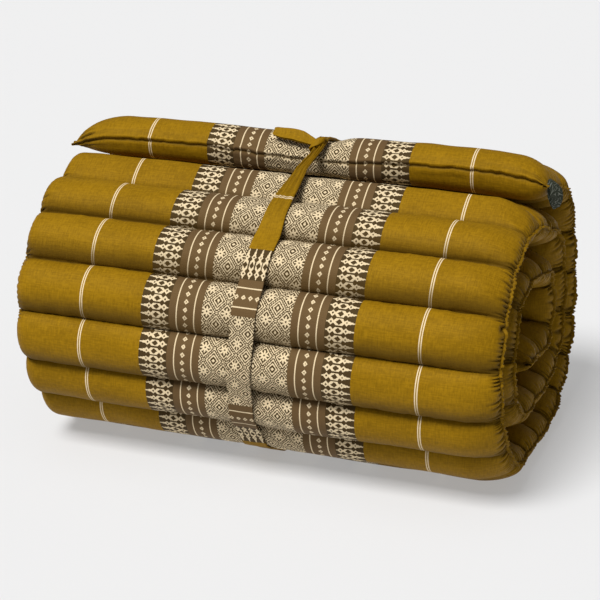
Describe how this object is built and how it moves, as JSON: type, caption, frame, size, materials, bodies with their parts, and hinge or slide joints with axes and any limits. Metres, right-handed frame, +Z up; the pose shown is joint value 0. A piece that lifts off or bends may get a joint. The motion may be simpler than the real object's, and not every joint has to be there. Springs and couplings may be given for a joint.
{
  "type": "roll-up floor mat",
  "caption": "Padded floor mat sewn in cross channels, rolled up with its spiral showing at both ends and tied round the middle with a cloth strap in a bow.",
  "frame": {"origin": "on the floor under the middle of the roll: the centre of the bounding box, at its base", "axes": "+X runs along the roll, to the end where the label hangs; -Y is the side the loose outer end faces; +Z is up"},
  "size_m": [0.5071, 0.3692, 0.3146],
  "materials": {
    "cover": "olive gold twill with a soft sheen, and a patterned band woven in cream and dark brown along the middle of the mat",
    "strap": "olive gold twill of the cover, with a soft sheen",
    "label": "plain dark green woven tape, matt and bare"
  },
  "bodies": {
    "root": {"mat": "cover", "tie": "strap", "label": "label"}
  },
  "joints": []
}
